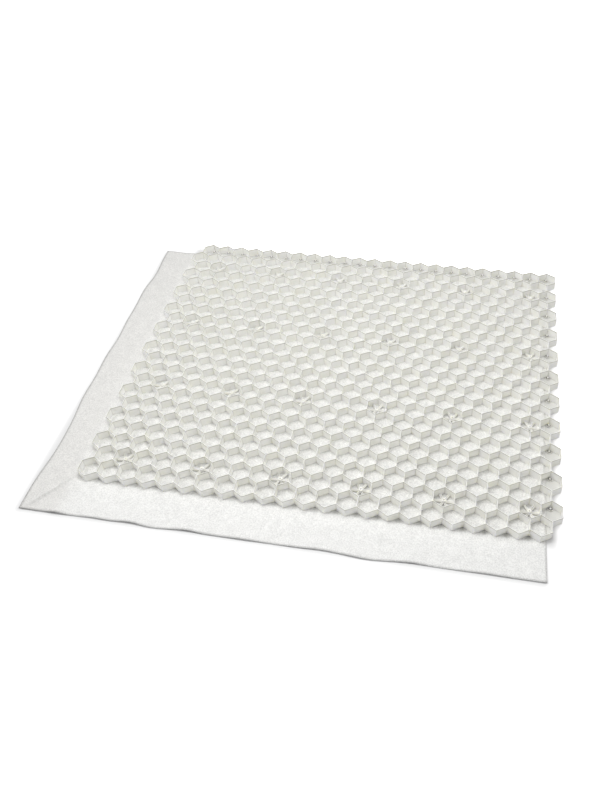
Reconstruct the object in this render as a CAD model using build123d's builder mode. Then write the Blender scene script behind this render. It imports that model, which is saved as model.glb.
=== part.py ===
# Gravel grid: a flat honeycomb of upright plastic walls, one moulding, on a sheet of white non-woven
# fabric that is bonded to its underside. The fabric runs out past the honeycomb on the left and the
# front, where the next grids lie on it, and stops short of the coupling cups at the right and the back.
# Millimetres. X runs along the rows of cells, Y to the back, Z up from the ground.
# The origin is on the ground, below the middle of the whole part, fabric included.
from build123d import *
from math import sqrt
import os

# Honeycomb
cell_pitch = 59.0  # from one wall to the next along a row
cells_in_row = 23
rows = 22
wall = 1.5  # thickness of every wall
grid_height = 30.0

# Fabric
fabric_thickness = 1.0
flap_left = 130.0  # from the leftmost wall to the fabric's edge
flap_front = 113.0  # from the foremost point of the honeycomb to the fabric's edge
bare_right = 42.0  # strip at the right that the fabric leaves bare
bare_back = 33.5  # strip at the back that the fabric leaves bare

# Coupling cups, one in the back corner of each jutting cell at the right and of each cell of the back
# row: a low six-sided cup that fills the corner, with a peg standing in it
cup_from_corner = 9.3  # from the line where three walls meet to the middle of the cup
cup_height = 3.0
cup_floor = 1.0
cup_pocket_radius = 7.5
peg_radius = 3.2
peg_height = 6.0

# The moulding is divided through the middles of these two rows into the three blocks of its model
row_of_first_cut = 6
row_of_second_cut = 14

# Worked out from the sizes above
corner_radius = cell_pitch / sqrt(3)  # from a cell's middle to where three walls meet
row_pitch = corner_radius * 1.5
clear_radius = (cell_pitch - wall) / sqrt(3)  # from a cell's middle to its inside corners
outer_radius = (cell_pitch + wall) / sqrt(3)  # the same, to the outside corners of its walls
grid_width = (cells_in_row + 0.5) * cell_pitch + wall
grid_depth = (rows - 1) * row_pitch + 2 * outer_radius
fabric_width = flap_left + grid_width - bare_right
fabric_depth = flap_front + grid_depth - bare_back
part_width = flap_left + grid_width
part_depth = flap_front + grid_depth
first_cell_x = -part_width / 2 + flap_left + (cell_pitch + wall) / 2
first_cell_y = -part_depth / 2 + flap_front + outer_radius


def cell_middle(cell, row):
    # Every second row stands half a cell to the right
    return (first_cell_x + (cell + row % 2 / 2) * cell_pitch, first_cell_y + row * row_pitch)


def cells_of(block_rows):
    return [cell_middle(cell, row) for row in block_rows for cell in range(cells_in_row)]


def cups_of(block_rows):
    # In the jutting cells of the right edge and all along the back row
    jutting = [(cells_in_row - 1, row) for row in block_rows if row % 2 == 1 and row != rows - 1]
    back_row = [(cell, row) for row in block_rows if row == rows - 1 for cell in range(cells_in_row)]
    middles = [cell_middle(cell, row) for cell, row in jutting + back_row]
    return [(x, y + corner_radius - cup_from_corner) for x, y in middles]


def honeycomb_block(name, first_row, last_row):
    # The block runs from the middle of its first row to the middle of its last one, and takes in the
    # whole of a row that lies at the edge of the moulding
    block_rows = range(first_row, last_row + 1)
    front = cell_middle(0, first_row)[1] - (outer_radius if first_row == 0 else 0)
    back = cell_middle(0, last_row)[1] + (outer_radius if last_row == rows - 1 else 0)
    with BuildPart() as block:
        with BuildSketch(Plane.XY.offset(fabric_thickness)):
            with Locations(*cells_of(block_rows)):
                RegularPolygon(outer_radius, 6, rotation=30)
            with Locations((0, (front + back) / 2)):
                Rectangle(part_width, back - front, mode=Mode.INTERSECT)
            with Locations(*cells_of(block_rows)):
                RegularPolygon(clear_radius, 6, rotation=30, mode=Mode.SUBTRACT)
        extrude(amount=grid_height)
        with BuildSketch(Plane.XY.offset(fabric_thickness)):
            with Locations(*cups_of(block_rows)):
                RegularPolygon(cup_from_corner, 6, rotation=30)
        extrude(amount=cup_height)
        with BuildSketch(Plane.XY.offset(fabric_thickness + cup_floor)):
            with Locations(*cups_of(block_rows)):
                RegularPolygon(cup_pocket_radius, 6, rotation=30)
                RegularPolygon(peg_radius, 6, rotation=30, mode=Mode.SUBTRACT)
        extrude(amount=cup_height, mode=Mode.SUBTRACT)
        with BuildSketch(Plane.XY.offset(fabric_thickness + cup_height)):
            with Locations(*cups_of(block_rows)):
                RegularPolygon(peg_radius, 6, rotation=30)
        extrude(amount=peg_height - cup_height)
    block.part.label = name
    return block


honeycomb_front = honeycomb_block("honeycomb_front", 0, row_of_first_cut)
honeycomb_middle = honeycomb_block("honeycomb_middle", row_of_first_cut, row_of_second_cut)
honeycomb_back = honeycomb_block("honeycomb_back", row_of_second_cut, rows - 1)

# The fabric is one flat sheet, in line with the left and front edges of the part
with BuildPart() as ground_fabric:
    with Locations((-bare_right / 2, -bare_back / 2)):
        Box(fabric_width, fabric_depth, fabric_thickness, align=(Align.CENTER, Align.CENTER, Align.MIN))
ground_fabric.part.label = "ground_fabric"

os.makedirs("parts", exist_ok=True)
export_step(honeycomb_front.part, "parts/honeycomb_front.step")
export_step(honeycomb_middle.part, "parts/honeycomb_middle.step")
export_step(honeycomb_back.part, "parts/honeycomb_back.step")
export_step(ground_fabric.part, "parts/ground_fabric.step")
print(f"whole part {part_width:.1f} x {part_depth:.1f}, honeycomb {grid_width:.1f} x {grid_depth:.1f}")
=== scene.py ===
import math

import bmesh
import bpy
import numpy as np
from mathutils import Matrix, Vector


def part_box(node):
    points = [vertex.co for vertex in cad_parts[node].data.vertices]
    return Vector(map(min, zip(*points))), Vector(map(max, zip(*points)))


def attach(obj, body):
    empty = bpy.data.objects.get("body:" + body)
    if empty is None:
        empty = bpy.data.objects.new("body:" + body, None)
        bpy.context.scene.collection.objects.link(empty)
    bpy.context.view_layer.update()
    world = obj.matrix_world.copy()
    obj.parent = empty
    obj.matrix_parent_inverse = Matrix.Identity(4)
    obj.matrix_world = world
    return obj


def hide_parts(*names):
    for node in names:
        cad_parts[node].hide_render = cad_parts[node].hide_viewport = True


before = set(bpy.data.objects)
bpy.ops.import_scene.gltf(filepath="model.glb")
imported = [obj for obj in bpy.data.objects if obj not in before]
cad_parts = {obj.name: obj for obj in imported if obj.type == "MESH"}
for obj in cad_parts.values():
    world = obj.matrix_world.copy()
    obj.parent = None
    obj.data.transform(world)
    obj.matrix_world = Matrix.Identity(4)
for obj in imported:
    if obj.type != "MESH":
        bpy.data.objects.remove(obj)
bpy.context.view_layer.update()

# The ground fabric: a sheet of white spunbonded polypropylene felt, bonded hot to the feet of the
# honeycomb's walls. It lies slack between them, and its free hem on the left and at the front
# ripples a little where it was cut from the roll.
fabric_low, fabric_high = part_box("ground_fabric")
comb_low = Vector(map(min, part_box("honeycomb_front")[0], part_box("honeycomb_back")[0]))
comb_high = Vector(map(max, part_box("honeycomb_front")[1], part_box("honeycomb_back")[1]))
cells_in_row = 23
rows = 22
wall = 0.0015
pitch = (comb_high.x - comb_low.x - wall) / (cells_in_row + 0.5)
corner_radius = pitch / math.sqrt(3)
row_pitch = 1.5 * corner_radius
first_cell = (comb_low.x + (pitch + wall) / 2, comb_low.y + (pitch + wall) / math.sqrt(3))
foot = comb_low.z
rim = comb_high.z

# The sheet's own sizes: its thickness, the distance between its points on the flaps and under the
# cells, and how far it rises between the walls
fabric_thickness = 0.001
flap_step = 0.0035
covered_step = 0.0075
slack = 0.0016


def steps(low, high, step):
    return np.linspace(low, high, max(2, round((high - low) / step) + 1))


def cell_middle(cell, row):
    return (first_cell[0] + (cell + row % 2 / 2) * pitch, first_cell[1] + row * row_pitch)


def from_wall(x, y):
    # Distance to the middle of the nearest wall, for points anywhere on the honeycomb's lattice
    nearest = np.full(x.shape, 1e9)
    inside = np.zeros(x.shape)
    base = np.floor((y - first_cell[1]) / row_pitch).astype(int)
    for row in (base, base + 1):
        shift = (row % 2) / 2
        cell = np.round((x - first_cell[0]) / pitch - shift)
        dx = x - first_cell[0] - (cell + shift) * pitch
        dy = y - first_cell[1] - row * row_pitch
        reach = np.hypot(dx, dy)
        across = np.maximum(np.abs(dx), np.abs(dx) / 2 + np.abs(dy) * math.sqrt(3) / 2)
        inside = np.where(reach < nearest, pitch / 2 - across, inside)
        nearest = np.minimum(reach, nearest)
    return inside


def smooth(value, start, end):
    t = np.clip((value - start) / (end - start), 0, 1)
    return t * t * (3 - 2 * t)


def bell(offset, width):
    # 1 where the offset is 0, and nearly 0 two widths away
    return np.exp(-(offset / width) ** 2)


def ripples(x, y, wavelength, count, seed):
    # Overlapping soft waves in many directions, between about -1 and 1
    dice = np.random.default_rng(seed)
    total = np.zeros(x.shape)
    for _ in range(count):
        turn = dice.uniform(0, 2 * math.pi)
        length = wavelength * dice.uniform(0.7, 1.4)
        phase = dice.uniform(0, 2 * math.pi)
        total += np.sin((x * math.cos(turn) + y * math.sin(turn)) * 2 * math.pi / length + phase)
    return total / math.sqrt(count)


def swell(x, y, wavelength, seed):
    # Slow changes around 1, from 0 to 2
    return np.clip(1 + 0.6 * ripples(x, y, wavelength, 5, seed), 0, 2)


def crease(x, y, start, end, width):
    # 1 along a straight fold from start to end, 0 a few widths away from it
    ax, ay = start
    bx, by = end
    length = math.hypot(bx - ax, by - ay)
    along = ((x - ax) * (bx - ax) + (y - ay) * (by - ay)) / length
    off = ((x - ax) * (by - ay) - (y - ay) * (bx - ax)) / length
    ends = smooth(along, -0.01, 0.02) * (1 - smooth(along, length - 0.02, length + 0.01))
    return bell(off, width) * ends


xs = np.concatenate([steps(fabric_low.x, comb_low.x, flap_step)[:-1],
                     steps(comb_low.x, fabric_high.x, covered_step)])
ys = np.concatenate([steps(fabric_low.y, comb_low.y, flap_step)[:-1],
                     steps(comb_low.y, fabric_high.y, covered_step)])
flat_x, flat_y = (g.ravel() for g in np.meshgrid(xs, ys))

on_left_flap = smooth(comb_low.x - flat_x, 0, comb_low.x - fabric_low.x)
on_front_flap = smooth(comb_low.y - flat_y, 0, comb_low.y - fabric_low.y)
clear_of_walls = smooth(from_wall(flat_x, flat_y), 0.002, 0.014)
in_cells = (flat_x > comb_low.x) & (flat_y > comb_low.y)
off_cells = 1 - in_cells
lift = slack * clear_of_walls * np.clip(0.5 + 0.8 * ripples(flat_x, flat_y, 0.04, 7, 3), 0, 2) * in_cells

# Puckers of the front hem: the place of each along X, and its size. Half of the size lifts the hem
# off the ground, and a third of it draws the hem in.
front_puckers = ((-0.53, 0.005), (-0.42, 0.009), (-0.256, 0.008),
                 (0.12, 0.006), (0.37, 0.005), (0.56, 0.003))
pucker_width = 0.04
for place, size in front_puckers:
    lift += size / 2 * on_front_flap ** 2 * bell(flat_x - place, pucker_width)

# How far both flaps lift towards their hems, more in some places than in others
front_hem_lift = 0.002
left_hem_lift = 0.004
lift += front_hem_lift * on_front_flap * swell(flat_x, flat_y, 0.16, 8) * off_cells
lift += left_hem_lift * on_left_flap * swell(flat_x, flat_y, 0.2, 12) * off_cells

# Soft puffs in the left flap between the jutting cells
puff_height = 0.006
puff_distance = 0.012
puff_reach = 0.022
beside_cells = bell(comb_low.x - flat_x - puff_distance, puff_reach)
between_cells = 0.5 - 0.5 * np.cos((flat_y - first_cell[1]) * math.pi / row_pitch)
lift += puff_height * beside_cells * between_cells * off_cells

# The folds that the roll left: height, start, end and width of each. One runs from the grid's corner
# to the fabric's, the other across the left flap.
corner_of_grid = (comb_low.x, comb_low.y + 0.02)
corner_of_fabric = (fabric_low.x + 0.02, fabric_low.y + 0.012)
roll_folds = ((0.006, corner_of_grid, corner_of_fabric, 0.005),
              (0.004, (fabric_low.x + 0.01, 0.27), (comb_low.x + 0.01, 0.36), 0.006))
for height, start, end, width in roll_folds:
    lift += height * crease(flat_x, flat_y, start, end, width)

# In plan the cuts run a little crooked: the left hem swings in towards the front, and the front hem
# runs out, most of all in two places
wander_x = 0.004 + 0.012 * bell(flat_y + 0.42, 0.25)
wander_x += 0.0025 * np.sin(flat_y * 2 * math.pi / 0.42 + 0.6)
wander_y = -0.005 - 0.006 * bell(flat_x - 0.25, 0.06)
wander_y -= 0.003 * bell(flat_x + 0.36, 0.04)
for place, size in front_puckers:
    wander_y += size / 3 * bell(flat_x - place, pucker_width)
sheet_x = flat_x + on_left_flap * wander_x
sheet_y = flat_y + on_front_flap * wander_y
sheet_z = fabric_high.z + lift

columns, lines = len(xs), len(ys)
points = np.column_stack([sheet_x, sheet_y, sheet_z])
index = np.arange(columns * lines).reshape(lines, columns)
quads = np.stack([index[:-1, :-1], index[:-1, 1:], index[1:, 1:], index[1:, :-1]], axis=-1).reshape(-1, 4)


def mesh_piece(name, vertices, faces):
    mesh = bpy.data.meshes.new(name)
    mesh.from_pydata([tuple(v) for v in vertices], [], [tuple(int(i) for i in f) for f in faces])
    mesh.validate()
    piece = bpy.data.objects.new(name, mesh)
    bpy.context.scene.collection.objects.link(piece)
    return piece


def mark(piece, name, values):
    # One number for every point of a piece, which its material reads
    marks = piece.data.attributes.new(name, "FLOAT", "POINT")
    marks.data.foreach_set("value", values)


fabric = mesh_piece("felt_sheet", points, quads)
fabric.data.polygons.foreach_set("use_smooth", [True] * len(fabric.data.polygons))

# What the felt's material reads: where the sheet lies slack, and where painted shade darkens it: on the
# left flap, at the cut hem, in the front notches and along the walls
mark(fabric, "slack", (clear_of_walls * in_cells).astype(float))
# Painted shade over the left flap
mark(fabric, "left_flap", smooth(comb_low.x - flat_x, -0.03, 0.04))
# Painted shade along the cut hem
from_hem = np.minimum(flat_x - fabric_low.x, flat_y - fabric_low.y)
mark(fabric, "hem", 1 - smooth(from_hem, 0.001, 0.008))
# Painted shade in the front notches, darker towards the right, and along the walls in the cells
notch_turn = (flat_x - first_cell[0]) / pitch - 0.5
from_notch = np.hypot((notch_turn - np.round(notch_turn)) * pitch,
                      flat_y - first_cell[1] + corner_radius / 2 + 0.006)
darker_to_right = 0.3 + 0.7 * smooth(flat_x, comb_low.x, comb_high.x - pitch)
in_front_row = (flat_x > comb_low.x + pitch / 4) & (flat_x < comb_high.x - pitch)
in_notches = bell(from_notch, 0.011) * darker_to_right * in_front_row
along_walls = 0.12 * (1 - clear_of_walls) * in_cells
mark(fabric, "notch_and_wall_shade", np.maximum(in_notches, along_walls))
body_of_cloth = fabric.modifiers.new("thickness", "SOLIDIFY")
body_of_cloth.thickness = fabric_thickness
body_of_cloth.offset = -1


def linear(hex_colour):
    # An sRGB hex colour as Blender's linear red, green and blue
    parts = [int(hex_colour[i:i + 2], 16) / 255 for i in (1, 3, 5)]
    return [c / 12.92 if c <= 0.04045 else ((c + 0.055) / 1.055) ** 2.4 for c in parts] + [1]


def add_node(tree, kind, settings=None, inputs=None):
    # One node, its plain settings, and its inputs as values or as sockets to link from
    node = tree.nodes.new(kind)
    for key, value in (settings or {}).items():
        setattr(node, key, value)
    for key, value in (inputs or {}).items():
        if isinstance(value, bpy.types.NodeSocket):
            tree.links.new(value, node.inputs[key])
        else:
            node.inputs[key].default_value = value
    return node


def new_material(name):
    material = bpy.data.materials.new(name)
    material.use_nodes = True
    material.node_tree.nodes.clear()
    return material, material.node_tree


# Spunbonded polypropylene felt: fine white filaments laid at random and pressed. It gives the eye a
# matt, faintly cloudy white, with a speckle of denser and thinner spots. The filaments are about
# 0.04 mm thick, too fine to show, so the speckle is drawn at 2 to 4 mm.
felt, tree = new_material("spunbonded_felt")
place = add_node(tree, "ShaderNodeTexCoord").outputs["Object"]
speckle = add_node(tree, "ShaderNodeTexNoise", {}, {"Vector": place, "Scale": 270, "Detail": 3,
                                                   "Roughness": 0.7})
clouds = add_node(tree, "ShaderNodeTexNoise", {}, {"Vector": place, "Scale": 34, "Detail": 3,
                                                  "Roughness": 0.6})
mixed = add_node(tree, "ShaderNodeMix", {"data_type": "FLOAT"},
                 {0: 0.2, 2: speckle.outputs["Fac"], 3: clouds.outputs["Fac"]})
tone = add_node(tree, "ShaderNodeValToRGB", {}, {"Fac": mixed.outputs[0]})
tone.color_ramp.elements[0].position = 0.36
tone.color_ramp.elements[0].color = linear("#D9D9D7")
tone.color_ramp.elements[1].position = 0.64
tone.color_ramp.elements[1].color = linear("#F7F7F5")
loose = add_node(tree, "ShaderNodeAttribute", {"attribute_name": "slack"})
crumple = add_node(tree, "ShaderNodeTexNoise", {}, {"Vector": place, "Scale": 85, "Detail": 3,
                                                   "Roughness": 0.6, "Distortion": 0.6})
crumple_height = add_node(tree, "ShaderNodeMath", {"operation": "MULTIPLY"},
                          {0: crumple.outputs["Fac"], 1: loose.outputs["Fac"]})
folds = add_node(tree, "ShaderNodeBump", {}, {"Strength": 0.8, "Distance": 0.009,
                                             "Height": crumple_height.outputs[0]})
nap = add_node(tree, "ShaderNodeBump", {}, {"Strength": 0.7, "Distance": 0.0012,
                                           "Height": speckle.outputs["Fac"],
                                           "Normal": folds.outputs["Normal"]})
# Painted shade, set to the photo: the left flap, the cut hem and the felt by the walls and in the notches
# are a little darker
flap = add_node(tree, "ShaderNodeAttribute", {"attribute_name": "left_flap"})
left_flap_shaded = add_node(tree, "ShaderNodeMix", {"data_type": "RGBA", "blend_type": "MULTIPLY"},
                         {0: flap.outputs["Fac"], 6: tone.outputs["Color"], 7: linear("#F3F2F1")})
hem_shade_mask = add_node(tree, "ShaderNodeAttribute", {"attribute_name": "hem"})
hem_shaded = add_node(tree, "ShaderNodeMix", {"data_type": "RGBA", "blend_type": "MULTIPLY"},
                  {0: hem_shade_mask.outputs["Fac"], 6: left_flap_shaded.outputs[2], 7: linear("#CFCFCF")})
notch_and_wall_shade_mask = add_node(tree, "ShaderNodeAttribute", {"attribute_name": "notch_and_wall_shade"})
painted_notch_and_wall_shade = add_node(tree, "ShaderNodeMix", {"data_type": "RGBA", "blend_type": "MULTIPLY"},
                       {0: notch_and_wall_shade_mask.outputs["Fac"], 6: hem_shaded.outputs[2], 7: linear("#B4B4B0")})
cloth = add_node(tree, "ShaderNodeBsdfPrincipled", {}, {"Base Color": painted_notch_and_wall_shade.outputs[2],
                                                       "Roughness": 0.95, "IOR": 1.49,
                                                       "Sheen Weight": 0.15, "Sheen Roughness": 0.5,
                                                       "Normal": nap.outputs["Normal"]})
add_node(tree, "ShaderNodeOutputMaterial", {}, {"Surface": cloth.outputs["BSDF"]})
fabric.data.materials.append(felt)
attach(fabric, "root")
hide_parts("ground_fabric")

# The honeycomb: one injection moulding in white polypropylene. Its walls draw in slightly from the
# foot to the rim, so that it leaves the mould, and every inside corner and the rim are rounded.
wall_at_rim = 0.0015
wall_at_foot = 0.0020
rim_rounding = 0.0003
corner_rounding = 0.003
corner_steps = 4
notch_shade = 0.2
merge_distance = 0.00002
sharp_angle = math.radians(50)


def cell_ring(apothem):
    # A hexagon with rounded corners, its points counted round from the first corner's arc
    corners = np.radians(30 + 60 * np.arange(6))
    turns = np.radians(np.linspace(-30, 30, corner_steps + 1))
    arc_middle = (apothem - corner_rounding) * 2 / math.sqrt(3)
    return [(arc_middle * math.cos(c) + corner_rounding * math.cos(c + t),
             arc_middle * math.sin(c) + corner_rounding * math.sin(c + t))
            for c in corners for t in turns]


def rim_levels(half_at_rim, half_at_foot):
    # Half the wall's thickness at each height, from the foot to the rounded rim
    diagonal = 1 - math.sqrt(0.5)
    return [(foot, half_at_foot),
            (rim - rim_rounding, half_at_rim),
            (rim - rim_rounding * diagonal, half_at_rim - rim_rounding * diagonal),
            (rim, half_at_rim - rim_rounding)]


def honeycomb_tile():
    # One cell of the honeycomb out to the middles of its walls: rings from foot to rim, then the
    # borders that it shares with its neighbours
    vertices, faces = [], []
    points_in_corner = corner_steps + 1
    ring_size = 6 * points_in_corner
    levels = rim_levels(wall_at_rim / 2, wall_at_foot / 2)
    for z, half in levels:
        vertices += [(x, y, z) for x, y in cell_ring(pitch / 2 - half)]
    # The painted shade in the corners is marked on the two lower rings, most in the middle of each arc
    shaded = [math.sin(math.pi * k / corner_steps) for k in range(points_in_corner)] * 6
    cornerness = shaded * 2 + [0.0] * (2 * ring_size + 12)
    for level in range(len(levels) - 1):
        a, b = level * ring_size, (level + 1) * ring_size
        for k in range(ring_size):
            n = (k + 1) % ring_size
            faces.append((a + n, a + k, b + k, b + n))
    for border_z, ring_start, upward in ((rim, (len(levels) - 1) * ring_size, True), (foot, 0, False)):
        border = len(vertices)
        for corner in range(6):
            turn = math.radians(30 + 60 * corner)
            vertices.append((corner_radius * math.cos(turn), corner_radius * math.sin(turn), border_z))
        for corner in range(6):
            after = (corner + 1) % 6
            arc = [ring_start + corner * points_in_corner + k for k in range(points_in_corner)]
            fan = [(border + corner, arc[k + 1], arc[k]) for k in range(corner_steps)]
            side = (border + corner, border + after, ring_start + after * points_in_corner, arc[-1])
            made = fan + [side]
            faces += made if upward else [face[::-1] for face in made]
    return np.array(vertices), faces, cornerness


def outline():
    # Corners of the moulding's outer edge, along the middles of its outermost walls, anticlockwise
    half, low = pitch / 2, corner_radius / 2
    last = cells_in_row - 1
    corners = []
    for cell in range(cells_in_row):
        x, y = cell_middle(cell, 0)
        corners += [(x - half, y - low), (x, y - corner_radius)]
    for row in range(rows):
        x, y = cell_middle(last, row)
        corners += [(x + half, y - low), (x + half, y + low)]
    for cell in reversed(range(cells_in_row)):
        x, y = cell_middle(cell, rows - 1)
        corners += [(x, y + corner_radius), (x - half, y + low)]
    for row in reversed(range(rows)):
        x, y = cell_middle(0, row)
        corners += [(x - half, y + low), (x - half, y - low)]
    kept = [c for k, c in enumerate(corners) if math.dist(c, corners[k - 1]) > pitch / 100]
    return np.array(kept)


def grown(loop, distance):
    # The closed outline moved outwards by a distance
    before = loop - np.roll(loop, 1, axis=0)
    after = np.roll(loop, -1, axis=0) - loop
    normals = []
    for edge in (before, after):
        unit = edge / np.linalg.norm(edge, axis=1, keepdims=True)
        normals.append(np.column_stack([unit[:, 1], -unit[:, 0]]))
    total = normals[0] + normals[1]
    share = 1 + np.sum(normals[0] * normals[1], axis=1, keepdims=True)
    return loop + total / share * distance


tile, tile_faces, tile_cornerness = honeycomb_tile()
vertices, faces = [], []
for row in range(rows):
    for cell in range(cells_in_row):
        start = len(vertices) * len(tile)
        x, y = cell_middle(cell, row)
        vertices.append(tile + np.array([x, y, 0]))
        faces += [tuple(start + i for i in face) for face in tile_faces]
vertices = np.concatenate(vertices)
# The outer faces of the outermost walls, from the foot over the rounded rim to the walls' middles
edge_loop = outline()
skin = [(foot, 0.0)] + rim_levels(wall_at_rim / 2, wall_at_foot / 2) + [(rim, 0.0)]
for level, (z, distance) in enumerate(skin):
    grown_loop = grown(edge_loop, distance)
    start = len(vertices)
    vertices = np.concatenate([vertices, np.column_stack([grown_loop, np.full(len(grown_loop), z)])])
    if level:
        size = len(edge_loop)
        for k in range(size):
            n = (k + 1) % size
            faces.append((start - size + k, start - size + n, start + n, start + k))
honeycomb = mesh_piece("honeycomb_moulding", vertices, faces)
# The in_corner mark holds painted shade: in the inside corners, and on the outer faces in the front
# notches
cornerness = tile_cornerness * (rows * cells_in_row)
notch = (edge_loop[:, 1] > first_cell[1] - corner_radius * 0.75) & (edge_loop[:, 1] < first_cell[1])
cornerness += list(np.where(notch, notch_shade, 0.0)) * len(skin)
mark(honeycomb, "in_corner", cornerness)
work = bmesh.new()
work.from_mesh(honeycomb.data)
bmesh.ops.remove_doubles(work, verts=work.verts, dist=merge_distance)
bmesh.ops.recalc_face_normals(work, faces=work.faces)
open_edges = sum(1 for e in work.edges if len(e.link_faces) != 2)
work.to_mesh(honeycomb.data)
work.free()
print("honeycomb: faces", len(honeycomb.data.polygons), "open edges", open_edges)
honeycomb.data.polygons.foreach_set("use_smooth", [True] * len(honeycomb.data.polygons))
honeycomb.data.set_sharp_from_angle(angle=sharp_angle)

# Injection-moulded polypropylene in its natural white: slightly warm, satin where the polished mould
# touched it, with faint clouds from the flow of the melt and fine drag lines down the walls.
plastic, tree = new_material("moulded_polypropylene")
place = add_node(tree, "ShaderNodeTexCoord").outputs["Object"]
flow = add_node(tree, "ShaderNodeTexNoise", {}, {"Vector": place, "Scale": 26, "Detail": 3,
                                                "Roughness": 0.55})
tone = add_node(tree, "ShaderNodeValToRGB", {}, {"Fac": flow.outputs["Fac"]})
tone.color_ramp.elements[0].position = 0.3
tone.color_ramp.elements[0].color = linear("#F5F4ED")
tone.color_ramp.elements[1].position = 0.7
tone.color_ramp.elements[1].color = linear("#FBFAF5")
# Painted shade: darker in the inside corners of the cells, on the outer faces in the front notches, and at
# the feet of the sockets and cups
corner_shade_mark = add_node(tree, "ShaderNodeAttribute", {"attribute_name": "in_corner"})
corner_shade_share = add_node(tree, "ShaderNodeMath", {"operation": "MULTIPLY"},
                          {0: corner_shade_mark.outputs["Fac"], 1: 0.24})
tone_with_corner_shade = add_node(tree, "ShaderNodeMix", {"data_type": "RGBA"},
                     {0: corner_shade_share.outputs[0], 6: tone.outputs["Color"], 7: linear("#8E8D87")})
# Painted shade: a faint darker band just under the rim, set to the photo
height = add_node(tree, "ShaderNodeSeparateXYZ", {}, {"Vector": place}).outputs["Z"]
above_foot = add_node(tree, "ShaderNodeMapRange", {}, {"Value": height, "From Min": foot, "From Max": rim})
under_rim_shade = add_node(tree, "ShaderNodeValToRGB", {}, {"Fac": above_foot.outputs["Result"]})
stops = under_rim_shade.color_ramp.elements
stops[0].position, stops[0].color = 0.84, linear("#FFFFFF")
stops[1].position, stops[1].color = 0.98, linear("#FFFFFF")
for position, colour in ((0.90, "#D2D2CE"), (0.945, "#D2D2CE")):
    stops.new(position).color = linear(colour)
toned = add_node(tree, "ShaderNodeMix", {"data_type": "RGBA", "blend_type": "MULTIPLY"},
                 {0: 1.0, 6: tone_with_corner_shade.outputs[2], 7: under_rim_shade.outputs["Color"]})
drag_place = add_node(tree, "ShaderNodeMapping", {}, {"Vector": place, "Scale": (900, 900, 22)})
drag = add_node(tree, "ShaderNodeTexNoise", {}, {"Vector": drag_place.outputs["Vector"], "Scale": 1,
                                                "Detail": 2})
shine = add_node(tree, "ShaderNodeMapRange", {}, {"Value": drag.outputs["Fac"], "To Min": 0.36,
                                                 "To Max": 0.52})
drag_bump = add_node(tree, "ShaderNodeBump", {}, {"Strength": 0.15, "Distance": 0.0002,
                                                 "Height": drag.outputs["Fac"]})
moulded = add_node(tree, "ShaderNodeBsdfPrincipled", {}, {"Base Color": toned.outputs[2],
                                                         "Roughness": shine.outputs["Result"],
                                                         "IOR": 1.49,
                                                         "Subsurface Weight": 1.0,
                                                         "Subsurface Radius": (1, 1, 0.9),
                                                         "Subsurface Scale": 0.003,
                                                         "Normal": drag_bump.outputs["Normal"]})
add_node(tree, "ShaderNodeOutputMaterial", {}, {"Surface": moulded.outputs["BSDF"]})
honeycomb.data.materials.append(plastic)
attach(honeycomb, "root")
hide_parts("honeycomb_front", "honeycomb_middle", "honeycomb_back")

# The spoked sockets: in 24 cells, part of the same moulding, a short tube for a ground anchor stands
# in the middle of the cell on six low spokes, which run to the middles of the cell's walls.
first_socket_cell, socket_cell_step = 1, 4
first_socket_row, socket_row_step = 1, 6
spoke_height = 0.011
spoke_wall = 0.0014
spoke_gap = 0.0024
tube_height = 0.017
tube_radius = 0.006
tube_bore = 0.0028
tube_rounding = 0.0004
tube_taper = 0.0004
tube_steps = 20
spoke_in_tube = 0.0015
spoke_rounding = 0.0002
socket_foot_shade = 2.6


def turned(profile, count):
    # A closed profile of radius and height, turned round the Z axis
    made, faces = [], []
    for step in range(count):
        turn = 2 * math.pi * step / count
        made += [(r * math.cos(turn), r * math.sin(turn), z) for r, z in profile]
    size = len(profile)
    for step in range(count):
        here, there = step * size, (step + 1) % count * size
        for k in range(size):
            n = (k + 1) % size
            faces.append((here + k, there + k, there + n, here + n))
    return np.array(made), faces


def bar(start, end, width, low, high, rounding):
    # A straight bar with chamfered upper edges
    way = np.array(end) - np.array(start)
    side = np.array([-way[1], way[0]]) / np.linalg.norm(way) * width / 2
    inset = side * (1 - 2 * rounding / width)
    ring = [(-side, low), (side, low), (side, high - rounding), (inset, high), (-inset, high),
            (-side, high - rounding)]
    made = [(*(np.array(end_point) + off), z) for end_point in (start, end) for off, z in ring]
    faces = [(k, (k + 1) % 6, (k + 1) % 6 + 6, k + 6) for k in range(6)]
    faces += [tuple(range(5, -1, -1)), tuple(range(6, 12))]
    return np.array(made), faces


def gathered(parts):
    # Several meshes as one list of vertices and one of faces
    vertices, faces, start = [], [], 0
    for part_vertices, part_faces in parts:
        vertices.append(part_vertices)
        faces += [tuple(start + i for i in face) for face in part_faces]
        start += len(part_vertices)
    return np.concatenate(vertices), faces


def shade_the_foot(piece, depth_of_shade):
    # Painted shade: the low forms darker towards their feet, where they meet the walls and the felt
    shaded_height = foot + 0.0015
    mark(piece, "in_corner",
         [depth_of_shade if v.co.z < shaded_height else 0.0 for v in piece.data.vertices])


def outward(piece):
    # Faces turned outwards, smooth where they bend softly and sharp where they meet at an angle
    work = bmesh.new()
    work.from_mesh(piece.data)
    bmesh.ops.recalc_face_normals(work, faces=work.faces)
    work.to_mesh(piece.data)
    work.free()
    piece.data.polygons.foreach_set("use_smooth", [True] * len(piece.data.polygons))
    piece.data.set_sharp_from_angle(angle=sharp_angle)


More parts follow.
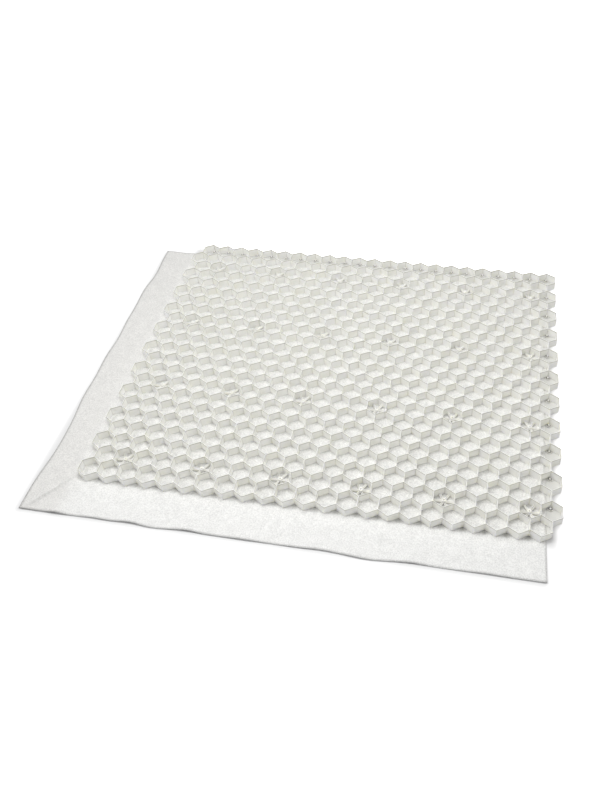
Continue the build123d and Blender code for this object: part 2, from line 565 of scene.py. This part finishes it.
top = foot + tube_height
tube_profile = [(tube_bore, foot), (tube_radius, foot), (tube_radius - tube_taper, top - tube_rounding),
                (tube_radius - tube_taper - tube_rounding, top), (tube_bore + tube_rounding, top),
                (tube_bore, top - tube_rounding)]
socket_parts = [turned(tube_profile, tube_steps)]
for spoke in range(6):
    turn = math.radians(60 * spoke)
    way = np.array([math.cos(turn), math.sin(turn)])
    for side in (-1, 1):
        off = np.array([-way[1], way[0]]) * side * (spoke_gap + spoke_wall) / 2
        start = way * (tube_radius - spoke_in_tube) + off
        end = way * (pitch / 2 - wall / 4) + off
        socket_parts.append(bar(start, end, spoke_wall, foot, foot + spoke_height, spoke_rounding))
socket_vertices, socket_faces = gathered(socket_parts)
sockets = []
for row in range(first_socket_row, rows, socket_row_step):
    for cell in range(first_socket_cell, cells_in_row, socket_cell_step):
        sockets.append((socket_vertices + np.array([*cell_middle(cell, row), 0]), socket_faces))
spoked_sockets = mesh_piece("spoked_sockets", *gathered(sockets))
shade_the_foot(spoked_sockets, socket_foot_shade)
outward(spoked_sockets)
spoked_sockets.data.materials.append(plastic)
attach(spoked_sockets, "root")

# The coupling cups: part of the same moulding, a low round cup with a peg in it, in the back corner
# of each jutting cell at the right and of every cell of the back row. They take the next grid's studs.
cup_from_corner = 0.0093
cup_height = 0.003
cup_radius = 0.0078
pocket_radius = 0.0064
peg_radius = 0.0031
peg_height = 0.0065
cup_floor = 0.001
cup_rounding = 0.0004
cup_steps = 24
cup_foot_shade = 4.0
near_axis = 0.0001
cup_top = foot + cup_height
peg_top = foot + peg_height
cup_profile = [(near_axis, foot), (cup_radius, foot), (cup_radius, cup_top - cup_rounding),
               (cup_radius - cup_rounding, cup_top), (pocket_radius + cup_rounding, cup_top),
               (pocket_radius, cup_top - cup_rounding), (pocket_radius, foot + cup_floor),
               (peg_radius, foot + cup_floor), (peg_radius, peg_top - 0.002),
               (peg_radius * 0.85, peg_top - 0.0009), (peg_radius * 0.45, peg_top - 0.0002),
               (near_axis, peg_top)]
cup_vertices, cup_faces = turned(cup_profile, cup_steps)
cup_cells = [(cells_in_row - 1, row) for row in range(1, rows - 1, 2)]
cup_cells += [(cell, rows - 1) for cell in range(cells_in_row)]
cups = []
for cell, row in cup_cells:
    x, y = cell_middle(cell, row)
    cups.append((cup_vertices + np.array([x, y + corner_radius - cup_from_corner, 0]), cup_faces))
coupling_cups = mesh_piece("coupling_cups", *gathered(cups))
shade_the_foot(coupling_cups, cup_foot_shade)
outward(coupling_cups)
coupling_cups.data.materials.append(plastic)
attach(coupling_cups, "root")

# The studio: a white floor under the grid, seen as pure white away from it, a pale sky all round, and
# three square soft lights: the strongest overhead, a weaker one at the left and a faint one at the right.
floor_size = 30
sky_strength = 0.345

# The grey card lies a hair above the paper. The paper's glow is full from shade_reach on, counted from
# two boxes that lie a little inside the fabric and the honeycomb.
card_height = 0.0001
glow_inset = 0.012
left_inset = 0.01
shade_reach = 0.06
floor_corners = [(-floor_size, -floor_size, 0), (floor_size, -floor_size, 0), (floor_size, floor_size, 0),
                 (-floor_size, floor_size, 0)]
floor_faces = [(0, 1, 2, 3)]

# The cells that the felt leaves partly bare: those with cups, and the last ones of the rows between
bare_cells = cup_cells + [(cells_in_row - 1, row) for row in range(0, rows, 2)]
for cell, row in bare_cells:
    x, y = cell_middle(cell, row)
    floor_faces.append(tuple(range(len(floor_corners), len(floor_corners) + 6)))
    for turn in np.radians(30 + 60 * np.arange(6)):
        floor_corners.append((x + corner_radius * math.cos(turn), y + corner_radius * math.sin(turn),
                              card_height))
floor = mesh_piece("studio_floor", floor_corners, floor_faces)
floor.data.polygons.foreach_set("material_index", [0] + [1] * len(bare_cells))
paper, tree = new_material("white_paper_floor")
spot = add_node(tree, "ShaderNodeTexCoord").outputs["Object"]
gaps = []
inset = Vector((glow_inset, glow_inset, 0))
for low, high in ((fabric_low + Vector((left_inset, 0, 0)), fabric_high - inset),
                  (comb_low, comb_high - inset - Vector((pitch / 3, 0, 0)))):
    middle = add_node(tree, "ShaderNodeVectorMath", {"operation": "SUBTRACT"},
                      {0: spot, 1: ((low.x + high.x) / 2, (low.y + high.y) / 2, 0)})
    folded = add_node(tree, "ShaderNodeVectorMath", {"operation": "ABSOLUTE"}, {0: middle.outputs[0]})
    outside = add_node(tree, "ShaderNodeVectorMath", {"operation": "SUBTRACT"},
                       {0: folded.outputs[0], 1: ((high.x - low.x) / 2, (high.y - low.y) / 2, 0)})
    clipped = add_node(tree, "ShaderNodeVectorMath", {"operation": "MAXIMUM"},
                       {0: outside.outputs[0], 1: (0, 0, 0)})
    gaps.append(add_node(tree, "ShaderNodeVectorMath", {"operation": "LENGTH"}, {0: clipped.outputs[0]}))
nearer = add_node(tree, "ShaderNodeMath", {"operation": "MINIMUM"},
                  {0: gaps[0].outputs["Value"], 1: gaps[1].outputs["Value"]})
# Near the fabric and the honeycomb the glow fades so that their real shadows show; the falling glow itself
# paints a soft grey halo round them
away = add_node(tree, "ShaderNodeMapRange", {"interpolation_type": "SMOOTHSTEP"},
                {"Value": nearer.outputs[0], "From Max": shade_reach, "To Max": 1.0})
sheet_of_paper = add_node(tree, "ShaderNodeBsdfDiffuse", {}, {"Color": linear("#E6E6E6")})
ray = add_node(tree, "ShaderNodeLightPath")
seen = add_node(tree, "ShaderNodeMath", {"operation": "MAXIMUM"},
                {0: ray.outputs["Is Camera Ray"], 1: ray.outputs["Is Glossy Ray"]})
strength = add_node(tree, "ShaderNodeMath", {"operation": "MULTIPLY"},
                    {0: seen.outputs[0], 1: away.outputs[0]})
glow = add_node(tree, "ShaderNodeEmission", {}, {"Color": (1, 1, 1, 1), "Strength": strength.outputs[0]})
both = add_node(tree, "ShaderNodeAddShader", {}, {0: sheet_of_paper.outputs[0], 1: glow.outputs[0]})
add_node(tree, "ShaderNodeOutputMaterial", {}, {"Surface": both.outputs[0]})
floor.data.materials.append(paper)

# Inside the bare cells the photo shows a pale grey, read here as the studio's own floor in the cells'
# shade: a grey card, its grey partly the floor's own and partly painted shade
shade_card, tree = new_material("grey_card_painted_shade")
grain = add_node(tree, "ShaderNodeTexNoise", {}, {"Scale": 120, "Detail": 2})
card_tone = add_node(tree, "ShaderNodeValToRGB", {}, {"Fac": grain.outputs["Fac"]})
card_tone.color_ramp.elements[0].color = linear("#CFCFCB")
card_tone.color_ramp.elements[1].color = linear("#DADAD7")
sheet_of_card = add_node(tree, "ShaderNodeBsdfDiffuse", {}, {"Color": card_tone.outputs["Color"]})
add_node(tree, "ShaderNodeOutputMaterial", {}, {"Surface": sheet_of_card.outputs[0]})
floor.data.materials.append(shade_card)

# The sky lights the grid softly, and is itself seen as pure white
world = bpy.data.worlds.new("studio_sky")
bpy.context.scene.world = world
world.use_nodes = True
tree = world.node_tree
tree.nodes.clear()
sky = add_node(tree, "ShaderNodeBackground", {}, {"Color": (1, 1, 1, 1), "Strength": sky_strength})
white = add_node(tree, "ShaderNodeBackground", {}, {"Color": (1, 1, 1, 1), "Strength": 1.0})
ray = add_node(tree, "ShaderNodeLightPath")
seen_sky = add_node(tree, "ShaderNodeMath", {"operation": "MAXIMUM"},
                    {0: ray.outputs["Is Camera Ray"], 1: ray.outputs["Is Transmission Ray"]})
either = add_node(tree, "ShaderNodeMixShader", {}, {0: seen_sky.outputs[0], 1: sky.outputs[0],
                                                   2: white.outputs[0]})
add_node(tree, "ShaderNodeOutputWorld", {}, {"Surface": either.outputs[0]})


def soft_light(name, place, size, watts):
    # A square diffusing panel that faces the middle of the grid
    lamp = bpy.data.lights.new(name, "AREA")
    lamp.size = size
    lamp.energy = watts
    panel = bpy.data.objects.new(name, lamp)
    panel.location = place
    panel.rotation_euler = (-Vector(place)).to_track_quat("-Z", "Y").to_euler()
    bpy.context.scene.collection.objects.link(panel)


soft_light("overhead_light", (0.0, -0.05, 2.3), 1.4, 36)
soft_light("left_light", (-4.6, -0.5, 4.7), 2.3, 100)
soft_light("right_light", (3.2, -0.3, 3.3), 1.6, 14)

# The camera: where the photographer stood, worked out from the corners of the cells. The frame is 600
# wide and 800 high, and the middle of the lens isn't quite in the middle of it.
camera_place = (0.4216, -1.6120, 1.7244)
turn_left = math.radians(10.816)
look_down = math.radians(45.158)
roll = math.radians(1.608)
focal_pixels = 724.755
lens_middle = (356.4, 365.75)
frame_width, frame_height = 600, 800
lens_data = bpy.data.cameras.new("photo_camera")
lens_data.sensor_width = 36
lens_data.lens = focal_pixels / frame_height * lens_data.sensor_width
lens_data.shift_x = (frame_width / 2 - lens_middle[0]) / frame_height
lens_data.shift_y = (lens_middle[1] - frame_height / 2) / frame_height
lens_data.clip_end = 100
camera = bpy.data.objects.new("photo_camera", lens_data)
forward = Vector((-math.sin(turn_left) * math.cos(look_down), math.cos(turn_left) * math.cos(look_down),
                  -math.sin(look_down)))
level = forward.cross(Vector((0, 0, 1))).normalized()
down = forward.cross(level)
right = level * math.cos(roll) + down * math.sin(roll)
down = down * math.cos(roll) - level * math.sin(roll)
axes = Matrix((right, -down, -forward)).transposed().to_4x4()
camera.matrix_world = Matrix.Translation(camera_place) @ axes
bpy.context.scene.collection.objects.link(camera)
bpy.context.scene.camera = camera
bpy.context.scene.view_settings.view_transform = "Standard"
